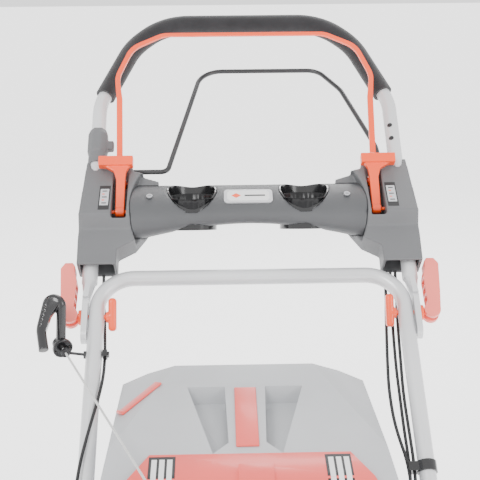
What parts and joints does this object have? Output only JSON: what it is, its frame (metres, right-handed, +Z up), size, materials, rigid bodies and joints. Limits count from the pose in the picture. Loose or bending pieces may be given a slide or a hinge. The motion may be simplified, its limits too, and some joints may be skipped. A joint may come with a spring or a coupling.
{
  "type": "walk-behind petrol lawn mower",
  "caption": "Walk-behind petrol rotary mower with a folding tube handle, moulded console with cup holders, two bails, recoil starter, steel deck, height-adjustable wheels and a rear grass box.",
  "frame": {"origin": "on the ground under the middle of the mower's overall size", "axes": "+Z up, -Y towards the mower's front, +Y towards the handle, +X towards the left of a person pushing it"},
  "size_m": [0.6401, 1.6499, 1.0454],
  "materials": {
    "deck_paint": "gloss",
    "black_paint": "satin",
    "silver_paint": "satin metallic",
    "zinc": "satin",
    "blade_steel": "satin",
    "dark_plastic": "fine grain",
    "gloss_black": "gloss",
    "orange_plastic": "gloss",
    "red_plastic": "gloss",
    "grey_plastic": "fine grain",
    "dark_grey_plastic": "fine grain",
    "foam": "soft foam",
    "tyre_rubber": "matt",
    "rim_plastic": "satin",
    "engine_alloy": "cast",
    "ceramic": "gloss",
    "muffler_steel": "heat-dulled",
    "tank_plastic": "satin",
    "belt_rubber": "matt",
    "cable_sleeve": "satin",
    "rope": "braided",
    "badge_silver": "satin"
  },
  "bodies": {
    "chassis": {"deck": "deck_paint", "front_bumper": "dark_plastic", "engine_block": "engine_alloy", "spark_plug": "ceramic", "engine_shroud": "gloss_black", "recoil_cover": "gloss_black", "fuel_tank": "tank_plastic", "air_filter": "dark_plastic", "muffler": "muffler_steel", "gearbox": "engine_alloy", "drive_belt": "belt_rubber", "handle_brackets": "black_paint", "fasteners": "zinc", "lower_handle": "silver_paint", "clamp_bolts": "orange_plastic", "rope_guide": "black_paint", "starter_rope": "rope", "cable_clips": "gloss_black", "control_cables": "cable_sleeve", "flap_hinge_rod": "zinc"},
    "upper_handle": {"upper_handle": "silver_paint", "handle_grip": "foam", "left_housing": "dark_plastic", "right_housing": "dark_plastic", "console_bar": "dark_plastic", "console_screws": "zinc", "cup_holders": "gloss_black", "console_badge": "badge_silver", "upper_cables": "cable_sleeve"},
    "safety_bail": {"safety_bail": "orange_plastic"},
    "drive_bail": {"drive_bail": "black_paint"},
    "throttle_lever": {"throttle_lever": "orange_plastic"},
    "speed_lever": {"speed_lever": "orange_plastic"},
    "left_cam_lever": {"left_cam_lever": "orange_plastic"},
    "right_cam_lever": {"right_cam_lever": "orange_plastic"},
    "crank": {"crankshaft": "zinc", "blade": "blade_steel", "blade_bolt": "zinc"},
    "gearbox_pulley": {"gearbox_pulley": "zinc"},
    "drive_shaft": {"drive_shaft": "zinc"},
    "rear_axle": {"rear_axle": "zinc", "height_knob": "gloss_black"},
    "front_axle": {"front_axle": "zinc"},
    "height_link": {"height_link": "zinc"},
    "front_left_wheel": {"front_left_rim": "rim_plastic", "front_left_tyre": "tyre_rubber"},
    "front_right_wheel": {"front_right_rim": "rim_plastic", "front_right_tyre": "tyre_rubber"},
    "rear_left_wheel": {"rear_left_rim": "rim_plastic", "rear_left_tyre": "tyre_rubber"},
    "rear_right_wheel": {"rear_right_rim": "rim_plastic", "rear_right_tyre": "tyre_rubber"},
    "rear_flap": {"rear_flap": "red_plastic"},
    "grass_box": {"box_upper_shell": "grey_plastic", "box_lower_shell": "dark_grey_plastic", "box_handle": "red_plastic"},
    "bag_indicator": {"bag_indicator": "red_plastic"},
    "fuel_cap": {"fuel_cap": "gloss_black"},
    "dipstick": {"dipstick": "orange_plastic"},
    "starter_grip": {"starter_grip": "gloss_black"}
  },
  "joints": [
    {"name": "handle_fold", "type": "hinge", "parent": "chassis", "child": "upper_handle", "pos_m": [0, 0.375, 0.595], "axis": [1, 0, 0], "range_deg": [0, 120], "deforming": ["control_cables", "upper_cables"]},
    {"name": "safety_bail_hinge", "type": "hinge", "parent": "upper_handle", "child": "safety_bail", "pos_m": [0, 0.55054, 0.77301], "axis": [1, 0, 0], "range_deg": [-5.8, 0], "stiffness_Nm_per_rad": 8, "springref_deg": 20.05},
    {"name": "drive_bail_hinge", "type": "hinge", "parent": "upper_handle", "child": "drive_bail", "pos_m": [0, 0.57022, 0.79012], "axis": [1, 0, 0], "range_deg": [0, 15], "stiffness_Nm_per_rad": 5, "springref_deg": -17.19},
    {"name": "throttle_hinge", "type": "hinge", "parent": "upper_handle", "child": "throttle_lever", "pos_m": [0, 0.49422, 0.73726], "axis": [1, 0, 0], "range_deg": [0, 50]},
    {"name": "speed_hinge", "type": "hinge", "parent": "upper_handle", "child": "speed_lever", "pos_m": [0, 0.49422, 0.73726], "axis": [1, 0, 0], "range_deg": [0, 50]},
    {"name": "left_cam_hinge", "type": "hinge", "parent": "chassis", "child": "left_cam_lever", "pos_m": [0.284, 0.375, 0.595], "axis": [0, 0.712, -0.7022], "range_deg": [0, 95]},
    {"name": "right_cam_hinge", "type": "hinge", "parent": "chassis", "child": "right_cam_lever", "pos_m": [-0.284, 0.375, 0.595], "axis": [0, -0.712, 0.7022], "range_deg": [0, 95]},
    {"name": "crank_spin", "type": "hinge", "parent": "chassis", "child": "crank", "pos_m": [0, -0.42, 0.2], "axis": [0, 0, 1], "continuous": true},
    {"name": "pulley_spin", "type": "hinge", "parent": "chassis", "child": "gearbox_pulley", "pos_m": [0.14, -0.135, 0.178], "axis": [0, 0, 1], "continuous": true},
    {"name": "shaft_spin", "type": "hinge", "parent": "chassis", "child": "drive_shaft", "pos_m": [0, -0.135, 0.14], "axis": [1, 0, 0], "continuous": true},
    {"name": "rear_axle_swing", "type": "hinge", "parent": "chassis", "child": "rear_axle", "pos_m": [0, -0.135, 0.14], "axis": [1, 0, 0], "range_deg": [-17, 17]},
    {"name": "front_axle_swing", "type": "hinge", "parent": "chassis", "child": "front_axle", "pos_m": [0, -0.76, 0.112], "axis": [1, 0, 0], "range_deg": [-17, 17]},
    {"name": "link_pin", "type": "hinge", "parent": "rear_axle", "child": "height_link", "pos_m": [-0.2065, -0.135, 0.185], "axis": [1, 0, 0], "range_deg": [-17, 17]},
    {"name": "front_left_spin", "type": "hinge", "parent": "front_axle", "child": "front_left_wheel", "pos_m": [0.246, -0.705, 0.1], "axis": [1, 0, 0], "continuous": true},
    {"name": "front_right_spin", "type": "hinge", "parent": "front_axle", "child": "front_right_wheel", "pos_m": [-0.246, -0.705, 0.1], "axis": [1, 0, 0], "continuous": true},
    {"name": "rear_left_spin", "type": "hinge", "parent": "rear_axle", "child": "rear_left_wheel", "pos_m": [0.282, -0.08, 0.14], "axis": [1, 0, 0], "continuous": true},
    {"name": "rear_right_spin", "type": "hinge", "parent": "rear_axle", "child": "rear_right_wheel", "pos_m": [-0.282, -0.08, 0.14], "axis": [1, 0, 0], "continuous": true},
    {"name": "flap_hinge", "type": "hinge", "parent": "chassis", "child": "rear_flap", "pos_m": [0, -0.066, 0.362], "axis": [1, 0, 0], "range_deg": [0, 55], "stiffness_Nm_per_rad": 0.6, "springref_deg": -28.65},
    {"name": "box_slide", "type": "slide", "parent": "chassis", "child": "grass_box", "axis": [0, 0.96, 0.28], "range_m": [0, 0.45]},
    {"name": "indicator_hinge", "type": "hinge", "parent": "grass_box", "child": "bag_indicator", "pos_m": [-0.19792, 0.24721, 0.49041], "axis": [0.4799, -0.8354, 0.2678], "range_deg": [0, 20]},
    {"name": "fuel_cap_twist", "type": "hinge", "parent": "chassis", "child": "fuel_cap", "pos_m": [0.16, -0.4, 0.33], "axis": [0, 0, 1], "range_deg": [0, 90]},
    {"name": "dipstick_twist", "type": "hinge", "parent": "chassis", "child": "dipstick", "pos_m": [-0.078, -0.344, 0.31], "axis": [0, 0, 1], "range_deg": [0, 180]},
    {"name": "starter_pull", "type": "slide", "parent": "chassis", "child": "starter_grip", "axis": [-0.4463, 0.8559, 0.2613], "range_m": [0, 0.5], "stiffness_N_per_m": 12, "springref_m": -0.25, "deforming": ["starter_rope"]}
  ],
  "couplings": [
    {"joint": "pulley_spin", "follows": "crank_spin", "ratio": 0.86667},
    {"joint": "front_axle_swing", "follows": "rear_axle_swing", "ratio": 1},
    {"joint": "link_pin", "follows": "rear_axle_swing", "ratio": -1}
  ]
}
